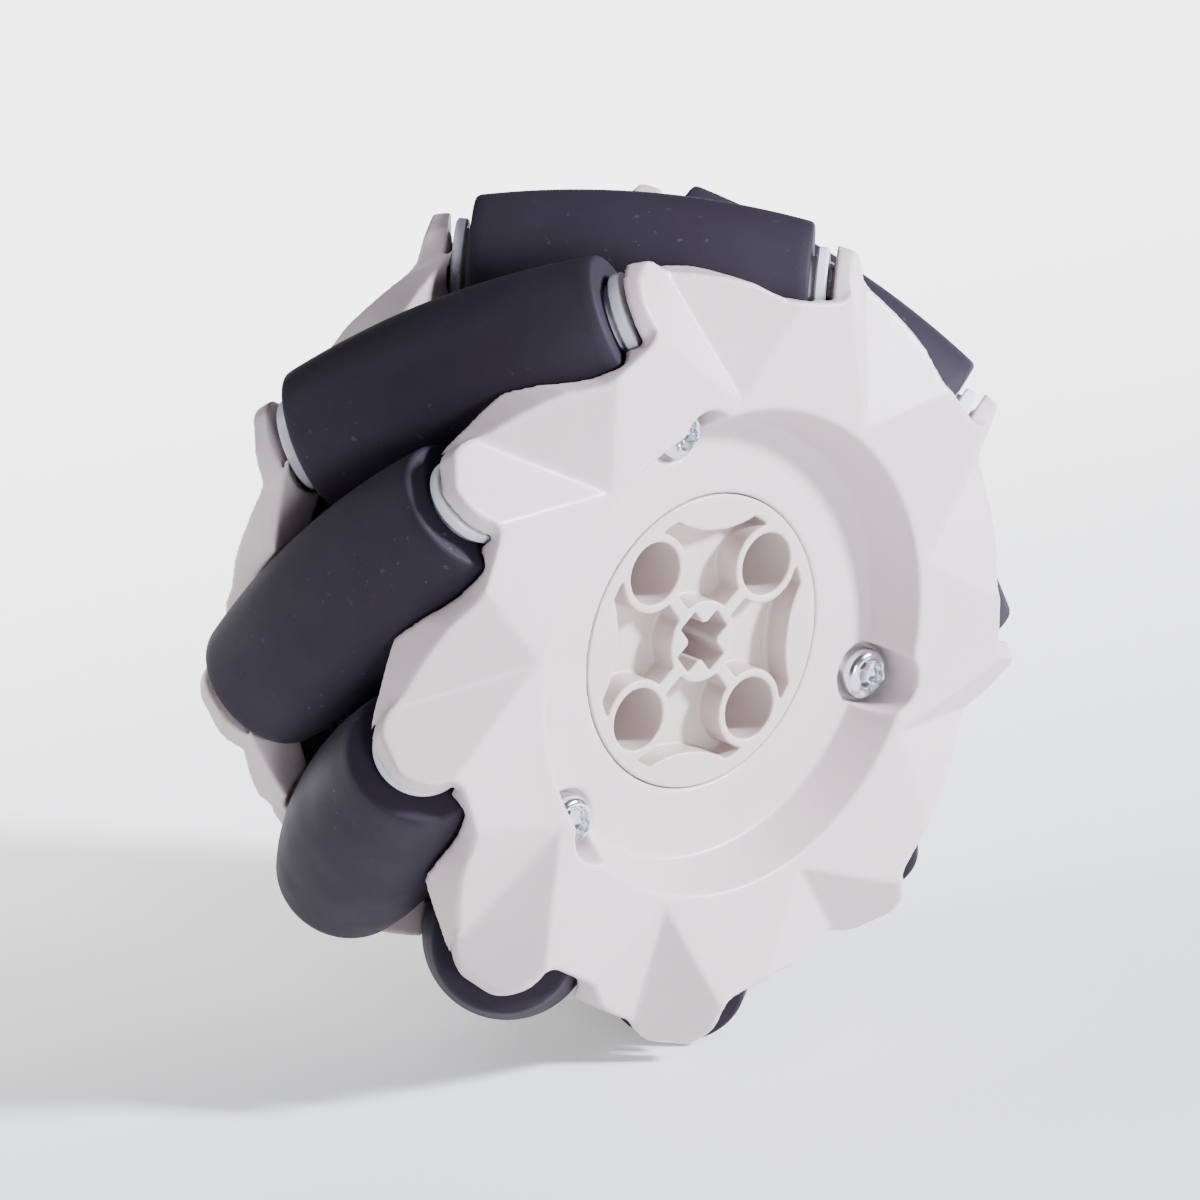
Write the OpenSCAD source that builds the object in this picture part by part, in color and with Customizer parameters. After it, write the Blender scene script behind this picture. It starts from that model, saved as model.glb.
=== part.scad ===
// Mecanum wheel with nine barrel rollers at 45 degrees between two lobed side plates.
// The wheel turns about the Y axis. The front face points to -Y and +Z is up.
// The origin is the centre of the wheel.

/* [Rollers] */
// Distance from the wheel axis to each roller axis
roller_pitch_r = 26.0; // [25.8:0.1:26.4]
// Largest radius of the rubber barrel, at its middle
sleeve_mid_r = 6.6; // [6.3:0.05:6.7]
// Radius of the rubber barrel at its two ends
sleeve_end_r = 5.35; // [5.1:0.05:5.5]
// Length of the rubber barrel along its own axis
sleeve_l = 25.8; // [25:0.1:26]
// Angle between a roller axis and the wheel's own turning direction
roller_tilt = 45; // [44:0.5:46]
// Outer radius of the plastic core under the rubber
core_r = 3.4; // [3.2:0.05:3.8]
// Radius of the flange disc at each end of the core
flange_r = 3.55; // [3.4:0.05:3.7]
// Thickness of the flange disc
flange_t = 0.9; // [0.7:0.05:1]
// Gap between the rubber end and the flange disc
flange_gap = 0.35; // [0.3:0.05:0.45]
// Radius of the narrow neck between the rubber and the flange disc
neck_r = 2.8; // [2.4:0.1:3]
// Radius of the steel axle pin
axle_r = 1.0; // [0.8:0.05:1.1]
// Half of the axle pin's length
axle_half_l = 15.9; // [15.7:0.05:16]
// Radial play of the core on its axle pin
axle_play = 0.05; // [0.03:0.01:0.08]

/* [Side plates] */
// Distance from the wheel's middle plane to the flat front of a plate
face_y = 13.75; // [13.6:0.05:13.9]
// Thickness of the lobed rim of a plate
rim_t = 6.4; // [6.2:0.1:6.6]
// Distance from the wheel's middle plane to the floor of the dished centre
floor_y = 9.86; // [9.8:0.02:9.9]
// Radius of the dished centre at its floor
dish_floor_r = 17.0; // [16.9:0.05:17.1]
// Radius of the dished centre at the plate's front
dish_face_r = 18.9; // [18.8:0.05:19]
// Outer radius of the drum behind the dished centre
drum_r = 18.5; // [18.3:0.05:18.7]
// Radius at which the three folds of a lobe start
fold_r = 19.7; // [19.6:0.05:19.8]
// Direction of the groove of a lobe, from the radial line
groove_turn = 23.0; // [22:0.5:24]
// Slope of the bottom line of the groove
groove_dip = 21.0; // [20:0.5:22]
// Angle of the groove's steep flank from the groove's own normal
steep_flank = 53.0; // [52:0.5:54]
// Angle of the groove's shallow flank from the groove's own normal
shallow_flank = 77.4; // [77:0.2:78]
// Radius of the boss that carries an axle end
boss_r = 3.9; // [3.8:0.05:4]
// Radius of the boss at its outer end
boss_tip_r = 3.1; // [2.9:0.05:3.3]
// Radius of the spacer ring between a boss and its roller
spacer_r = 2.3; // [2:0.1:2.6]
// Clear space kept around a turning roller
roller_gap = 0.32; // [0.3:0.01:0.4]
// Rise of the front face for each millimetre of radius outside the folds
face_slope = 0.05; // [0.04:0.01:0.06]
// Thickness of the skin left in front of the hollow back of a plate
skin_t = 1.5; // [1.4:0.1:1.7]
// Outer radius of the hollow in the back of a plate
hollow_r = 26.0; // [25.6:0.1:26.2]
// Inner radius of the hollow in the back of a plate
hollow_inner_r = 20.2; // [20:0.1:20.6]

/* [Hub insert] */
// Radius of the round insert in the middle of the wheel
insert_r = 11.45; // [11.4:0.05:11.5]
// Distance from the wheel axis to each pin hole
pin_pitch_r = 8.0; // [7.9:0.05:8.1]
// Radius of the four pin holes
pin_hole_r = 2.44; // [2.4:0.02:2.46]
// Outer radius of the tube round each pin hole
pin_tube_r = 3.1; // [3:0.05:3.2]
// Outer radius of the tube round the cross-shaped axle hole
cross_tube_r = 3.2; // [3.1:0.05:3.3]
// Length of one slot of the cross-shaped axle hole
cross_l = 4.9; // [4.8:0.05:5]
// Width of one slot of the cross-shaped axle hole
cross_w = 1.8; // [1.75:0.05:1.9]
// Depth of the four pockets between the tubes
pocket_d = 2.3; // [2:0.1:2.6]
// Width of the webs that join the tubes
web_w = 1.1; // [1:0.05:1.2]

/* [Screws] */
// Distance from the wheel axis to each screw
screw_pitch_r = 17.5; // [17.4:0.05:17.6]
// Radius of the screw head
screw_head_r = 2.0; // [1.9:0.05:2.1]
// Height of the screw head
screw_head_h = 2.1; // [1.9:0.05:2.2]
// Radius of the screw shank
screw_shank_r = 1.25; // [1.2:0.05:1.3]
// Length of the screw shank
screw_shank_l = 14.0; // [13:0.5:15]
// Radius of the pocket that holds a screw head
screw_pocket_r = 2.4; // [2.3:0.05:2.5]
// Depth of the screw pocket below the floor of the dish
screw_pocket_d = 0.9; // [0.8:0.05:1]

/* [Hidden] */
$fn = 96;

// Nine rollers and nine lobes share one pitch angle.
roller_count = 9;
step_angle = 360 / roller_count;
// The first roller sits a little to the right of the top, seen from the front.
roller_phase = 85;
lobe_phase = 88.83;
pin_phase = 36.4;
screw_phase = 99.2;
screw_step = 120;
screw_seat_y = screw_pocket_d - floor_y;
screw_end_y = screw_seat_y + screw_shank_l;
screw_dome_r = 2.65;
recess_r = 0.85;
recess_lobe_r = 0.3;
recess_d = 0.9;

// Barrel profile: one arc through the middle radius and the end radius.
sleeve_h = sleeve_l / 2;
barrel_drop = sleeve_mid_r - sleeve_end_r;
barrel_arc_r = (sleeve_h * sleeve_h + barrel_drop * barrel_drop) / (2 * barrel_drop);
edge_round = 0.45;
corner_r = sleeve_mid_r - barrel_arc_r - edge_round
    + sqrt(pow(barrel_arc_r, 2) - pow(sleeve_h - edge_round, 2));

core_h = sleeve_h + flange_gap + flange_t;
neck_end = sleeve_h + flange_gap;
spacer_s = core_h + 0.3;
boss_s = spacer_s + 0.25;
boss_l = 4.2;
flange_room_r = flange_r + roller_gap;
lip = 0.7;
slope_r = fold_r + 0.5;

// The insert sits in its plate with a hairline gap.
seat_r = insert_r + 0.08;
collar_r = 13.2;
collar_h = 1.5;
pocket_arc_r = 9.2;
pocket_inner_r = 8.65;
pocket_side = 10.3;
cross_relief = cross_w + 1.15;

big = 80;

// Places its children in the frame of roller i: +Z along the roller axis towards
// the front plate, +X away from the wheel axis.
module at_roller(i) {
    rotate([0, -(roller_phase + i * step_angle), 0])
        translate([roller_pitch_r, 0, 0])
            rotate([180 - roller_tilt, 0, 0])
                children();
}

// Turns its children about the wheel axis by a radial angle seen from the front.
module at_angle(a) {
    rotate([0, -a, 0])
        children();
}

// A disc or tube blank along the wheel axis between two Y values.
module y_cylinder(r, y0, y1) {
    translate([0, y0, 0])
        rotate([-90, 0, 0])
            cylinder(r = r, h = y1 - y0);
}

// The half outline of a rubber barrel with rounded ends, grown all round by a gap.
module barrel_half(gap) {
    end_h = sleeve_h + gap;
    corner_z = sleeve_h - edge_round;
    intersection() {
        translate([sleeve_mid_r - barrel_arc_r, 0])
            circle(r = barrel_arc_r + gap, $fn = 400);
        union() {
            translate([0, -corner_z])
                square([sleeve_mid_r + 1, 2 * corner_z]);
            translate([0, -end_h])
                square([corner_r, 2 * end_h]);
            for (m = [-1, 1])
                translate([corner_r, m * corner_z])
                    circle(r = edge_round + gap);
        }
    }
}

// One point of the lobe outline, seen from the front.
function polar(r, a) = [r * cos(a), r * sin(a)];

// The outline of one lobe from one shallow fold to the next: radius, and angle from its groove.
lobe_points = [
    [27.2, -10.3],
    [28.3, -5],
    [29.1, 1],
    [29.8, 7],
    [30.3, 10],
    [30.6, 13],
    [30.4, 15.4],
    [29.7, 17.2],
    [28.4, 18.3],
    [27.5, 20.5]
];
lobe_n = len(lobe_points);

// Point i of the outline, counted on through the lobes.
function lobe_point(i) =
    let (p = lobe_points[i % lobe_n])
    [p[0], p[1] + step_angle * floor(i / lobe_n)];

// A point of the smooth curve through the lobe points, at t from point i to the next.
function lobe_curve(i, t) =
    let (a = lobe_point(i - 1))
    let (b = lobe_point(i))
    let (c = lobe_point(i + 1))
    let (d = lobe_point(i + 2))
    b + t / 2 * (c - a + t * (2 * a - 5 * b + 4 * c - d + t * (3 * (b - c) + d - a)));

// The closed outline of all lobes.
function outline() = [
    for (i = [lobe_n : lobe_n * (roller_count + 1) - 1])
        for (t = [0, 0.5])
            let (p = lobe_curve(i, t))
            polar(p[0], p[1] + lobe_phase)
];

// The lobed disc with its slightly coned front face.
module lobed_disc() {
    difference() {
        translate([0, -face_y + rim_t, 0])
            rotate([90, 0, 0])
                linear_extrude(height = rim_t + lip - 0.01)
                    polygon(outline());
        translate([0, -face_y, 0])
            rotate([90, 0, 0])
                cylinder(r1 = slope_r, r2 = slope_r + lip / face_slope, h = lip);
    }
}

// The groove folded into one lobe: a triangular prism along the groove's bottom line.
module groove() {
    reach = 16;
    translate([fold_r, -face_y, 0])
        rotate([0, -groove_turn, 0])
            rotate([0, 0, groove_dip])
                rotate([0, 90, 0])
                    linear_extrude(height = 22)
                        polygon([
                            [0, 0],
                            [-reach * sin(steep_flank), -reach * cos(steep_flank)],
                            [0, -reach * 1.4],
                            [reach * sin(shallow_flank), -reach * cos(shallow_flank)]
                        ]);
}

// The space one turning roller needs between the plates.
module roller_room() {
    rotate_extrude()
        intersection() {
            union() {
                barrel_half(roller_gap);
                translate([0, -boss_s])
                    square([flange_room_r, 2 * boss_s]);
            }
            translate([0, -big])
                square([big, 2 * big]);
        }
}

// The boss that carries the front end of one axle pin.
module axle_boss() {
    translate([0, 0, boss_s])
        cylinder(r1 = boss_r, r2 = boss_tip_r, h = boss_l);
}

// The hollow in the back of a plate: a ring that leaves a skin under the face and grooves.
module plate_hollow() {
    difference() {
        y_cylinder(hollow_r, -face_y + skin_t, 0);
        y_cylinder(hollow_inner_r, -big, big);
        for (i = [0 : roller_count - 1]) {
            at_angle(lobe_phase + i * step_angle)
                translate([0, skin_t, 0])
                    groove();
            at_roller(i)
                axle_boss();
        }
    }
}

// One side plate with its rollers' rooms, grooves, screw holes and axle sockets cut.
module side_plate(is_front) {
    difference() {
        union() {
            lobed_disc();
            y_cylinder(drum_r, -floor_y, 0);
            for (i = [0 : roller_count - 1])
                intersection() {
                    at_roller(i)
                        axle_boss();
                    y_cylinder(31.6, -face_y, 0);
                }
        }
        // Dished centre
        translate([0, -floor_y, 0])
            rotate([90, 0, 0])
                cylinder(r1 = dish_floor_r, r2 = dish_face_r, h = face_y - floor_y);
        // Seat of the hub insert
        y_cylinder(seat_r, -big, big);
        y_cylinder(collar_r, -collar_h, big);
        // Hollow between the dish and the lobes, outside the drum
        difference() {
            plate_hollow();
            y_cylinder(drum_r, -floor_y, 0);
        }
        for (i = [0 : roller_count - 1]) {
            at_angle(lobe_phase + i * step_angle)
                groove();
            at_roller(i)
                difference() {
                    roller_room();
                    translate([0, 0, spacer_s])
                        cylinder(r = spacer_r, h = big);
                }
            at_roller(i)
                cylinder(r = axle_r, h = 2 * axle_half_l, center = true);
        }
        if (is_front)
            for (i = [0 : 2])
                at_angle(screw_phase + i * screw_step)
                    translate([screw_pitch_r, 0, 0]) {
                        y_cylinder(screw_pocket_r, -big, screw_pocket_d - floor_y);
                        y_cylinder(screw_shank_r, -big, 1);
                    }
    }
}

// Front plate.
module front_plate() {
    color([0.85, 0.83, 0.84])
        side_plate(true);
}

// Back plate: the same moulding turned over about the first roller's radial line.
module back_plate() {
    color([0.83, 0.81, 0.82])
        difference() {
            rotate([0, -roller_phase, 0])
                rotate([180, 0, 0])
                    rotate([0, roller_phase, 0])
                        side_plate(false);
            for (i = [0 : 2])
                at_angle(screw_phase + i * screw_step)
                    translate([screw_pitch_r, 0, 0])
                        y_cylinder(screw_shank_r, -1, screw_end_y);
        }
}

// One pocket between two pin tubes, cut into a face of the insert.
module insert_pocket() {
    difference() {
        intersection() {
            y_cylinder(pocket_side, -floor_y - 1, pocket_d - floor_y);
            rotate([0, 45, 0])
                translate([0, -big / 2, 0])
                    cube([big / 2, big, big / 2]);
        }
        translate([pocket_inner_r + pocket_arc_r, 0, 0])
            y_cylinder(pocket_arc_r, -big, big);
        y_cylinder(cross_tube_r, -big, big);
        for (a = [-45, 45])
            at_angle(a) {
                translate([pin_pitch_r, 0, 0])
                    y_cylinder(pin_tube_r, -big, big);
                translate([0, -big / 2, -web_w / 2])
                    cube([pin_pitch_r, big, web_w]);
            }
    }
}

// Front half of the hub: a cross-shaped axle hole and four pin holes right through, with a
// collar that the two plates hold between them.
module front_insert() {
    color([0.80, 0.78, 0.76])
        at_angle(pin_phase)
            difference() {
                union() {
                    y_cylinder(insert_r, -floor_y, 0);
                    y_cylinder(collar_r, -collar_h, 0);
                }
                for (a = [0 : 90 : 270])
                    at_angle(a) {
                        translate([pin_pitch_r, 0, 0])
                            y_cylinder(pin_hole_r, -big, big);
                        at_angle(45)
                            insert_pocket();
                    }
                for (a = [0, 90])
                    at_angle(a)
                        cube([cross_l, big, cross_w], center = true);
                at_angle(45)
                    cube([cross_relief, big, cross_relief], center = true);
            }
}

// Back half of the hub: the same moulding turned over. It is its own mirror image, so a
// mirror keeps its holes exactly in line with the front half's.
module back_insert() {
    mirror([0, 1, 0])
        front_insert();
}

// Pan-head screws with a six-lobed recess, their heads in the pockets of the front plate.
module plate_screws() {
    color([0.80, 0.82, 0.85])
        for (i = [0 : 2])
            at_angle(screw_phase + i * screw_step)
                translate([screw_pitch_r, screw_seat_y, 0])
                    difference() {
                        union() {
                            rotate([90, 0, 0])
                                rotate_extrude()
                                    intersection() {
                                        translate([0, screw_head_h - screw_dome_r])
                                            circle(r = screw_dome_r);
                                        square([screw_head_r, screw_head_h]);
                                    }
                            y_cylinder(screw_shank_r, -0.2, screw_shank_l);
                        }
                        y_cylinder(recess_r, -big, recess_d - screw_head_h);
                        for (a = [0 : 60 : 300])
                            at_angle(a)
                                translate([recess_r, 0, 0])
                                    y_cylinder(recess_lobe_r, -big, recess_d - screw_head_h);
                    }
}

// Plastic core of one roller: a tube with a neck and a flange disc at each end.
module roller_core(i) {
    color([0.90, 0.90, 0.93])
        at_roller(i)
            difference() {
                union() {
                    cylinder(r = core_r, h = 2 * (sleeve_h - 0.3), center = true);
                    cylinder(r = neck_r, h = 2 * core_h, center = true);
                    for (m = [0, 1])
                        mirror([0, 0, m])
                            translate([0, 0, neck_end])
                                cylinder(r = flange_r, h = flange_t);
                }
                cylinder(r = axle_r + axle_play, h = big, center = true);
            }
}

// Rubber barrel of one roller, moulded on to its core.
module roller_sleeve(i) {
    color([0.17, 0.16, 0.18])
        at_roller(i)
            difference() {
                rotate_extrude()
                    intersection() {
                        barrel_half(0);
                        translate([0, -big])
                            square([big, 2 * big]);
                    }
                cylinder(r = core_r, h = 2 * (sleeve_h - 0.3), center = true);
                cylinder(r = neck_r, h = big, center = true);
            }
}

// Steel pin that one roller turns on, held in blind sockets of the two plates.
module axle_pin(i) {
    color([0.72, 0.74, 0.77])
        at_roller(i)
            cylinder(r = axle_r, h = 2 * axle_half_l, center = true);
}

front_plate();
back_plate();
front_insert();
back_insert();
plate_screws();
roller_core(0);  // roller_core_1
roller_core(1);  // roller_core_2
roller_core(2);  // roller_core_3
roller_core(3);  // roller_core_4
roller_core(4);  // roller_core_5
roller_core(5);  // roller_core_6
roller_core(6);  // roller_core_7
roller_core(7);  // roller_core_8
roller_core(8);  // roller_core_9
roller_sleeve(0);  // roller_sleeve_1
roller_sleeve(1);  // roller_sleeve_2
roller_sleeve(2);  // roller_sleeve_3
roller_sleeve(3);  // roller_sleeve_4
roller_sleeve(4);  // roller_sleeve_5
roller_sleeve(5);  // roller_sleeve_6
roller_sleeve(6);  // roller_sleeve_7
roller_sleeve(7);  // roller_sleeve_8
roller_sleeve(8);  // roller_sleeve_9
axle_pin(0);  // axle_pin_1
axle_pin(1);  // axle_pin_2
axle_pin(2);  // axle_pin_3
axle_pin(3);  // axle_pin_4
axle_pin(4);  // axle_pin_5
axle_pin(5);  // axle_pin_6
axle_pin(6);  // axle_pin_7
axle_pin(7);  // axle_pin_8
axle_pin(8);  // axle_pin_9
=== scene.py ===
"""A mecanum wheel: nine rubber barrel rollers between two lobed plastic plates.

Lengths are in millimetres and are turned into metres where Blender objects are made.
"""

import math

import bpy
from mathutils import Matrix, Vector


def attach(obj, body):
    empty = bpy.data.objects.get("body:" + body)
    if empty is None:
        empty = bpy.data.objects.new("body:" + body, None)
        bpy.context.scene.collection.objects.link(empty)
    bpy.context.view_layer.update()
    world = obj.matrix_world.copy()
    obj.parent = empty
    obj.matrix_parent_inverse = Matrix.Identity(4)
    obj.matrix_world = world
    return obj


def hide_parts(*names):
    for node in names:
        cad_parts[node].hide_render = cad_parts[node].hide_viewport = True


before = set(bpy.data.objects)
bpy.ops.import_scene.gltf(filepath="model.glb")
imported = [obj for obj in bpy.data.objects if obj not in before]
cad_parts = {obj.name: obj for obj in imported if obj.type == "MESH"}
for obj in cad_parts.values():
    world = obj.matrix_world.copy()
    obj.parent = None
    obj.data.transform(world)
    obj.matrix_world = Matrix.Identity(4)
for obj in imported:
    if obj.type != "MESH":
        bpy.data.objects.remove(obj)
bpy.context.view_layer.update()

MM = 0.001

# Rollers
ROLLER_COUNT = 9
ROLLER_STEP = 360 / ROLLER_COUNT
ROLLER_PHASE = 85.0
ROLLER_PITCH_R = 26.0
ROLLER_TILT = 45.0
SLEEVE_MID_R = 6.6
SLEEVE_END_R = 5.35
SLEEVE_HALF = 12.9
SLEEVE_EDGE = 0.45
CORE_R = 3.4
NECK_R = 2.8
FLANGE_R = 3.55
FLANGE_T = 0.9
FLANGE_GAP = 0.35
AXLE_R = 1.0
AXLE_PLAY = 0.05
AXLE_HALF = 15.9

# Screws
SCREW_COUNT = 3
SCREW_STEP = 120.0
SCREW_PHASE = 99.2
SCREW_PITCH_R = 17.5
SCREW_SEAT_Y = -8.96
SCREW_HEAD_R = 2.0
SCREW_HEAD_H = 2.1
SCREW_SHANK_R = 1.25
SCREW_SHANK_L = 14.0
THREAD_PITCH = 0.8
THREAD_DEPTH = 0.18
HEAD_CHAMFER = 0.12
DOME_START = 1.15
DOME_RISE = 0.72
DOME_INSET = 0.62
DOME_STEPS = 8
RECESS_R = 1.12
RECESS_WAVE = 0.2
RECESS_DEPTH = 0.9

# Edge rounding of the plates and inserts: voxel size and rounds of smoothing
PLATE_VOXEL = 0.2
PLATE_ROUNDS = 8
INSERT_VOXEL = 0.11
INSERT_ROUNDS = 3

# Camera, solved from the photo's hub circles and roller outlines
CAM_AZIMUTH = -40.926
CAM_ELEVATION = 18.847
CAM_DISTANCE = 635.2
CAM_LENS = 252.2
CAM_RIGHT = -7.783
CAM_UP = 3.143
HUB_FACE_Y = -9.86

FLOOR_Z = -33.0
FLOOR_GLOW = 3.2

# Soft studio light: brightest from the upper right in front, with the floor glowing behind
LIGHT_SIDE = (0.62, -0.55, 0.56)
# Each light: name, place, side length, watts
LIGHTS = [
    ("key", (470, -560, 400), 110, 27.0),
    ("fill", (-200, -640, 120), 160, 3.0),
    ("rim", (-420, 360, 420), 260, 2.0),
]
COOL = (0.93, 0.97, 1.07)
WORLD_DIM = 0.02
WORLD_BRIGHT = 0.18


# ---------------------------------------------------------------- node helpers

def new_material(name):
    """An empty node material with its Principled shader, the node tree and the shader."""
    material = bpy.data.materials.new(name)
    material.use_nodes = True
    tree = material.node_tree
    return material, tree, tree.nodes["Principled BSDF"]


def add_node(tree, kind, **values):
    """A shader node with the given input values, by input name."""
    node = tree.nodes.new(kind)
    for key, value in values.items():
        node.inputs[key.replace("_", " ")].default_value = value
    return node


def coordinates(tree):
    """The object coordinates, in metres."""
    return tree.nodes.new("ShaderNodeTexCoord").outputs["Object"]


def noise(tree, scale, detail=3.0, rough=0.5):
    """A noise texture on object coordinates."""
    node = add_node(tree, "ShaderNodeTexNoise", Scale=scale, Detail=detail, Roughness=rough)
    tree.links.new(coordinates(tree), node.inputs["Vector"])
    return node.outputs["Fac"]


def ramp(tree, source, stops):
    """A colour ramp over a factor; stops are (position, rgb)."""
    node = tree.nodes.new("ShaderNodeValToRGB")
    tree.links.new(source, node.inputs["Fac"])
    elements = node.color_ramp.elements
    while len(elements) < len(stops):
        elements.new(0.5)
    for element, (position, rgb) in zip(elements, stops):
        element.position = position
        element.color = (*rgb, 1.0)
    return node.outputs["Color"]


def level(tree, source, low, high, out_low, out_high):
    """A factor remapped to a new range."""
    node = tree.nodes.new("ShaderNodeMapRange")
    node.inputs["From Min"].default_value = low
    node.inputs["From Max"].default_value = high
    node.inputs["To Min"].default_value = out_low
    node.inputs["To Max"].default_value = out_high
    tree.links.new(source, node.inputs["Value"])
    return node.outputs["Result"]


def bump(tree, shader, source, strength, distance):
    """Bumps the shader's normal by a height factor; distance is in metres."""
    node = add_node(tree, "ShaderNodeBump", Strength=strength, Distance=distance)
    tree.links.new(source, node.inputs["Height"])
    tree.links.new(node.outputs["Normal"], shader.inputs["Normal"])


# ---------------------------------------------------------------- materials

def moulded_plastic(name, light, shade, rough, subsurface):
    """Satin moulded plastic with a faint mottled colour and a fine skin."""
    material, tree, shader = new_material(name)
    cloud = noise(tree, 90.0)
    tree.links.new(ramp(tree, cloud, [(0.3, shade), (0.7, light)]), shader.inputs["Base Color"])
    sheen = level(tree, noise(tree, 260.0), 0.3, 0.7, rough - 0.05, rough + 0.05)
    tree.links.new(sheen, shader.inputs["Roughness"])
    bump(tree, shader, noise(tree, 2600.0, 2.0), 0.08, 0.00005)
    shader.inputs["Subsurface Weight"].default_value = subsurface
    shader.inputs["Subsurface Radius"].default_value = (0.0014, 0.0008, 0.0005)
    shader.inputs["Subsurface Scale"].default_value = 1.0
    shader.inputs["IOR"].default_value = 1.49
    return material


def moulded_rubber():
    """Matte black rubber with fine pores, pale dust specks and a soft sheen."""
    material, tree, shader = new_material("black_rubber")
    tones = [(0.3, (0.0190, 0.0145, 0.0230)), (0.7, (0.0240, 0.0188, 0.0290))]
    base = ramp(tree, noise(tree, 140.0, 4.0), tones)
    speck = level(tree, noise(tree, 1500.0, 1.0), 0.70, 0.76, 0.0, 0.22)
    patch = level(tree, noise(tree, 160.0, 2.0), 0.45, 0.62, 0.0, 1.0)
    amount = tree.nodes.new("ShaderNodeMath")
    amount.operation = "MULTIPLY"
    tree.links.new(speck, amount.inputs[0])
    tree.links.new(patch, amount.inputs[1])
    mix = tree.nodes.new("ShaderNodeMix")
    mix.data_type = "RGBA"
    mix.inputs["B"].default_value = (0.12, 0.11, 0.13, 1.0)
    tree.links.new(amount.outputs[0], mix.inputs["Factor"])
    tree.links.new(base, mix.inputs["A"])
    tree.links.new(mix.outputs["Result"], shader.inputs["Base Color"])
    rough = level(tree, noise(tree, 220.0), 0.3, 0.7, 0.56, 0.66)
    tree.links.new(rough, shader.inputs["Roughness"])
    bump(tree, shader, noise(tree, 3200.0, 2.0), 0.12, 0.00005)
    shader.inputs["Specular IOR Level"].default_value = 0.12
    return material


def metal(name, tint, rough, grain):
    """Bright plated steel with fine wear in its gloss."""
    material, tree, shader = new_material(name)
    tone = ramp(tree, noise(tree, grain), [(0.3, tuple(0.86 * c for c in tint)), (0.7, tint)])
    tree.links.new(tone, shader.inputs["Base Color"])
    gloss = level(tree, noise(tree, grain * 3), 0.3, 0.7, rough - 0.06, rough + 0.08)
    tree.links.new(gloss, shader.inputs["Roughness"])
    shader.inputs["Metallic"].default_value = 1.0
    return material


PLATE = moulded_plastic("plate_plastic", (0.56, 0.475, 0.480), (0.535, 0.45, 0.45), 0.40, 0.10)
INSERT = moulded_plastic("insert_plastic", (0.54, 0.455, 0.43), (0.515, 0.43, 0.40), 0.36, 0.10)
CORE = moulded_plastic("core_plastic", (0.80, 0.77, 0.84), (0.76, 0.74, 0.81), 0.35, 0.2)
RUBBER = moulded_rubber()
ZINC = metal("zinc_steel", (0.80, 0.82, 0.86), 0.18, 700.0)
STEEL = metal("pin_steel", (0.62, 0.63, 0.65), 0.28, 500.0)


# ---------------------------------------------------------------- mesh helpers

def make_object(name, verts, faces, material, smooth_angle=35.0):
    """A mesh object from millimetre vertices, smooth-shaded up to an angle."""
    mesh = bpy.data.meshes.new(name)
    mesh.from_pydata([tuple(c * MM for c in v) for v in verts], [], faces)
    mesh.materials.append(material)
    mesh.update()
    obj = bpy.data.objects.new(name, mesh)
    bpy.context.scene.collection.objects.link(obj)
    mesh.shade_smooth()
    mesh.set_sharp_from_angle(angle=math.radians(smooth_angle))
    return obj


def lathe(profile, segments, place):
    """Vertices and faces of a closed profile of (r, z) points turned about Z, then placed."""
    verts = []
    for k in range(segments):
        a = 2 * math.pi * k / segments
        for r, z in profile:
            verts.append(tuple(place @ Vector((r * math.cos(a), r * math.sin(a), z))))
    n = len(profile)
    faces = []
    for k in range(segments):
        m = (k + 1) % segments
        for j in range(n):
            i = (j + 1) % n
            faces.append((k * n + j, m * n + j, m * n + i, k * n + i))
    return verts, faces


def arc(cx, cz, r, start, end, steps):
    """Points of a circular arc from start to end degrees, in (r, z)."""
    points = []
    for k in range(steps + 1):
        a = math.radians(start + (end - start) * k / steps)
        points.append((cx + r * math.cos(a), cz + r * math.sin(a)))
    return points


def roller_place(index):
    """Matrix of roller index: +Z along its axle towards the front plate, +X outwards."""
    angle = math.radians(ROLLER_PHASE + index * ROLLER_STEP)
    turn = Matrix.Rotation(-angle, 4, "Y")
    out = Matrix.Translation((ROLLER_PITCH_R, 0, 0))
    tilt = Matrix.Rotation(math.radians(180 - ROLLER_TILT), 4, "X")
    return turn @ out @ tilt


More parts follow.
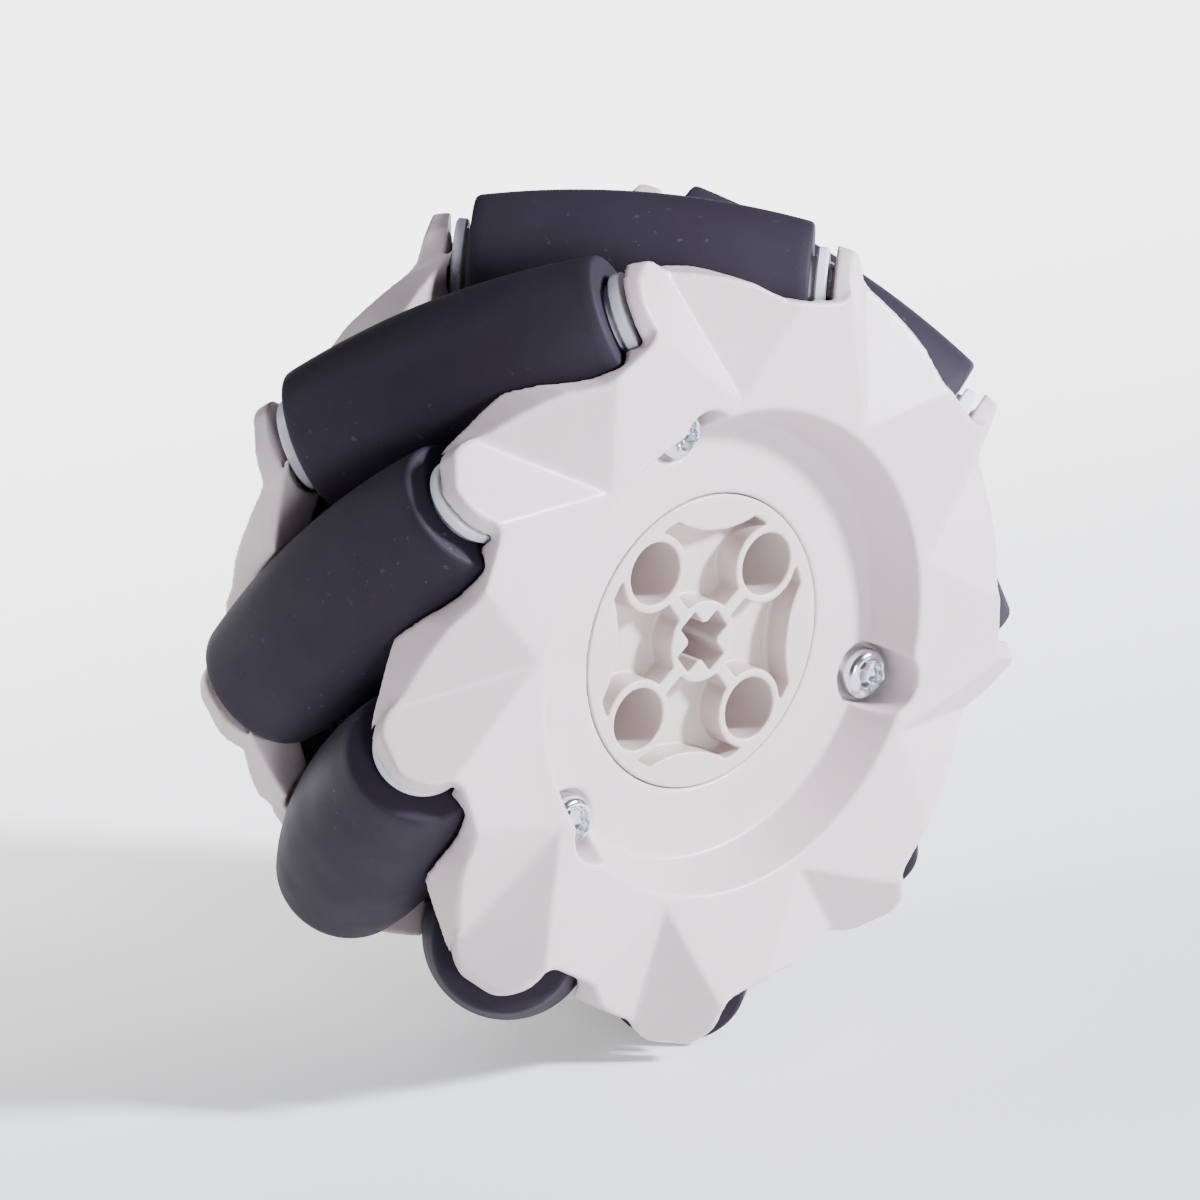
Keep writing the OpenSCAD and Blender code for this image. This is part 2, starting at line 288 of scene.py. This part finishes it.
def screw_head(place):
    """Vertices and faces of one pan head with a six-lobed recess, on a grid of rings."""
    steps = 96
    # Each ring is (radius, height, size of the six-lobed wave).
    rings = [
        (SCREW_SHANK_R, -0.3, 0.0),
        (SCREW_SHANK_R, 0.0, 0.0),
        (SCREW_HEAD_R - HEAD_CHAMFER, 0.0, 0.0),
        (SCREW_HEAD_R, HEAD_CHAMFER, 0.0),
    ]
    for k in range(1, DOME_STEPS + 1):
        a = math.radians(90 * k / DOME_STEPS)
        r = SCREW_HEAD_R - DOME_INSET * (1 - math.cos(a))
        rings.append((r, DOME_START + DOME_RISE * math.sin(a), 0.0))
    for grow, drop in [(0.13, 0.03), (0.04, 0.06), (0.0, 0.14)]:
        rings.append((RECESS_R + grow, SCREW_HEAD_H - drop, RECESS_WAVE))
    rings.append((RECESS_R - 0.05, SCREW_HEAD_H - RECESS_DEPTH, RECESS_WAVE))
    rings.append((RECESS_R - 0.3, SCREW_HEAD_H - RECESS_DEPTH - 0.12, RECESS_WAVE))
    verts = []
    for r, z, wave in rings:
        for k in range(steps):
            a = 2 * math.pi * k / steps
            reach = r + wave * (abs(math.cos(3 * a)) - 0.5)
            verts.append(tuple(place @ Vector((reach * math.cos(a), reach * math.sin(a), z))))
    faces = []
    for j in range(len(rings) - 1):
        for k in range(steps):
            m = (k + 1) % steps
            faces.append((j * steps + k, j * steps + m, (j + 1) * steps + m, (j + 1) * steps + k))
    faces.append(tuple(reversed(range(steps))))
    last = (len(rings) - 1) * steps
    faces.append(tuple(last + k for k in range(steps)))
    return verts, faces


def screw_place(index):
    """Matrix of screw index: +Z out of the front face."""
    angle = math.radians(SCREW_PHASE + index * SCREW_STEP)
    turn = Matrix.Rotation(-angle, 4, "Y")
    out = Matrix.Translation((SCREW_PITCH_R, SCREW_SEAT_Y, 0))
    return turn @ out @ Matrix.Rotation(math.radians(90), 4, "X")


# ---------------------------------------------------------------- rollers

def sleeve_profile():
    """Closed profile of one rubber barrel with rounded ends."""
    drop = SLEEVE_MID_R - SLEEVE_END_R
    big = (SLEEVE_HALF ** 2 + drop ** 2) / (2 * drop)
    flat = SLEEVE_HALF - SLEEVE_EDGE
    side = []
    for k in range(41):
        z = -flat + 2 * flat * k / 40
        side.append((math.sqrt(big ** 2 - z ** 2) - big + SLEEVE_MID_R, z))
    top_r = SLEEVE_END_R - SLEEVE_EDGE + 0.08
    top = arc(top_r, flat, SLEEVE_EDGE - 0.02, 8, 90, 7)
    bottom = [(r, -z) for r, z in reversed(top)]
    inner = [(CORE_R - 0.3, SLEEVE_HALF - 0.1), (CORE_R - 0.3, 0.1 - SLEEVE_HALF)]
    return side + top + inner + bottom


def core_profile():
    """Closed profile of one plastic core with a neck and a flange disc at each end."""
    neck_end = SLEEVE_HALF + FLANGE_GAP
    end = neck_end + FLANGE_T
    soft = 0.15
    half = [
        (CORE_R - 0.02, 0.0),
        (CORE_R - 0.02, SLEEVE_HALF - 0.4),
        (NECK_R, SLEEVE_HALF - 0.4),
        (NECK_R, neck_end),
        (FLANGE_R - soft, neck_end),
        (FLANGE_R, neck_end + soft),
        (FLANGE_R, end - soft),
        (FLANGE_R - soft, end),
        (AXLE_R + AXLE_PLAY, end),
    ]
    return [(r, -z) for r, z in reversed(half[1:])] + half


def axle_profile():
    """Closed profile of one steel pin with chamfered ends."""
    return [
        (0.01, -AXLE_HALF),
        (AXLE_R - 0.2, -AXLE_HALF),
        (AXLE_R, 0.2 - AXLE_HALF),
        (AXLE_R, AXLE_HALF - 0.2),
        (AXLE_R - 0.2, AXLE_HALF),
        (0.01, AXLE_HALF),
    ]


def shank_profile():
    """Closed profile of one screw shank below its head, with a shallow thread."""
    points = [(0.01, 0.1), (SCREW_SHANK_R, 0.1)]
    for k in range(int(SCREW_SHANK_L / THREAD_PITCH) - 1):
        z = -0.3 - k * THREAD_PITCH
        points += [(SCREW_SHANK_R, z), (SCREW_SHANK_R - THREAD_DEPTH, z - THREAD_PITCH / 2)]
    points += [(0.01, 0.4 - SCREW_SHANK_L)]
    return points


for index in range(ROLLER_COUNT):
    place = roller_place(index)
    label = str(index + 1)
    sleeve = make_object("sleeve_" + label, *lathe(sleeve_profile(), 96, place), RUBBER)
    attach(sleeve, "roller_" + label)
    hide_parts("roller_sleeve_" + label)
    core = make_object("core_" + label, *lathe(core_profile(), 72, place), CORE)
    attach(core, "roller_" + label)
    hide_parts("roller_core_" + label)
    pin = make_object("pin_" + label, *lathe(axle_profile(), 40, place), STEEL)
    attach(pin, "wheel")
    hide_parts("axle_pin_" + label)


# ---------------------------------------------------------------- plates, inserts and screws

def soften(node_name, material, voxel, rounds):
    """Rounds the edges of a CAD node with modifiers and gives it a material."""
    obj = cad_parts[node_name]
    remesh = obj.modifiers.new("soften_remesh", "REMESH")
    remesh.mode = "VOXEL"
    remesh.voxel_size = voxel * MM
    remesh.use_smooth_shade = True
    smooth = obj.modifiers.new("soften_smooth", "SMOOTH")
    smooth.factor = 0.5
    smooth.iterations = rounds
    for slot in obj.material_slots:
        slot.material = material


for side in ("front", "back"):
    soften(side + "_plate", PLATE, PLATE_VOXEL, PLATE_ROUNDS)
    soften(side + "_insert", INSERT, INSERT_VOXEL, INSERT_ROUNDS)

for index in range(SCREW_COUNT):
    place = screw_place(index)
    head = make_object("screw_head_" + str(index + 1), *screw_head(place), ZINC)
    shank = make_object("screw_shank_" + str(index + 1), *lathe(shank_profile(), 40, place), ZINC)
    for piece in (head, shank):
        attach(piece, "wheel")
        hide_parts("plate_screws")


# ---------------------------------------------------------------- floor, lights, camera

def make_floor():
    """A pale floor just under the wheel, glowing behind it to keep the background pale."""
    half = 3000.0
    corners = [(-half, -half), (half, -half), (half, half), (-half, half)]
    verts = [(x, y, FLOOR_Z) for x, y in corners]
    material, tree, shader = new_material("pale_floor")
    tone = ramp(tree, noise(tree, 3.0), [(0.3, (0.80, 0.80, 0.80)), (0.7, (0.83, 0.83, 0.83))])
    tree.links.new(tone, shader.inputs["Base Color"])
    shader.inputs["Roughness"].default_value = 0.9
    shader.inputs["Emission Color"].default_value = (1.0, 1.0, 1.0, 1.0)
    split = tree.nodes.new("ShaderNodeSeparateXYZ")
    tree.links.new(coordinates(tree), split.inputs["Vector"])
    glow = level(tree, split.outputs["Y"], -0.03, 0.16, 0.0, FLOOR_GLOW)
    tree.links.new(glow, shader.inputs["Emission Strength"])
    floor = make_object("floor", verts, [(0, 1, 2, 3)], material)


def add_world():
    """A white surround that is brighter towards the key light."""
    world = bpy.data.worlds.new("studio")
    world.use_nodes = True
    tree = world.node_tree
    facing = add_node(tree, "ShaderNodeVectorMath")
    facing.operation = "DOT_PRODUCT"
    facing.inputs[1].default_value = LIGHT_SIDE
    tree.links.new(tree.nodes.new("ShaderNodeTexCoord").outputs["Generated"], facing.inputs[0])
    strength = level(tree, facing.outputs["Value"], -0.7, 1.0, WORLD_DIM, WORLD_BRIGHT)
    tree.links.new(strength, tree.nodes["Background"].inputs["Strength"])
    tree.nodes["Background"].inputs["Color"].default_value = (*COOL, 1.0)
    bpy.context.scene.world = world


def add_area(name, where, size, power):
    """A square soft light at a place in millimetres, aimed at the wheel's centre."""
    light = bpy.data.lights.new(name, "AREA")
    light.shape = "SQUARE"
    light.size = size * MM
    light.energy = power
    light.color = COOL
    lamp = bpy.data.objects.new(name, light)
    bpy.context.scene.collection.objects.link(lamp)
    lamp.location = Vector(where) * MM
    aim = (-Vector(where)).normalized()
    lamp.rotation_mode = "QUATERNION"
    lamp.rotation_quaternion = aim.to_track_quat("-Z", "Y")


def add_camera():
    """The photo's camera: solved direction, distance and framing."""
    azimuth = math.radians(CAM_AZIMUTH)
    elevation = math.radians(CAM_ELEVATION)
    back = Vector((
        math.sin(azimuth) * math.cos(elevation),
        -math.cos(azimuth) * math.cos(elevation),
        math.sin(elevation),
    ))
    right = Vector((math.cos(azimuth), math.sin(azimuth), 0))
    up = back.cross(right)
    target = right * CAM_RIGHT + up * CAM_UP + Vector((0, HUB_FACE_Y, 0))
    data = bpy.data.cameras.new("camera")
    data.sensor_width = 36.0
    data.lens = CAM_LENS
    data.clip_start = 0.01
    data.clip_end = 20.0
    camera = bpy.data.objects.new("camera", data)
    bpy.context.scene.collection.objects.link(camera)
    camera.rotation_mode = "QUATERNION"
    camera.rotation_quaternion = (-back).to_track_quat("-Z", "Y")
    camera.location = (target + back * CAM_DISTANCE) * MM
    bpy.context.scene.camera = camera


make_floor()
for name, where, size, power in LIGHTS:
    add_area(name, where, size, power)
add_world()
add_camera()
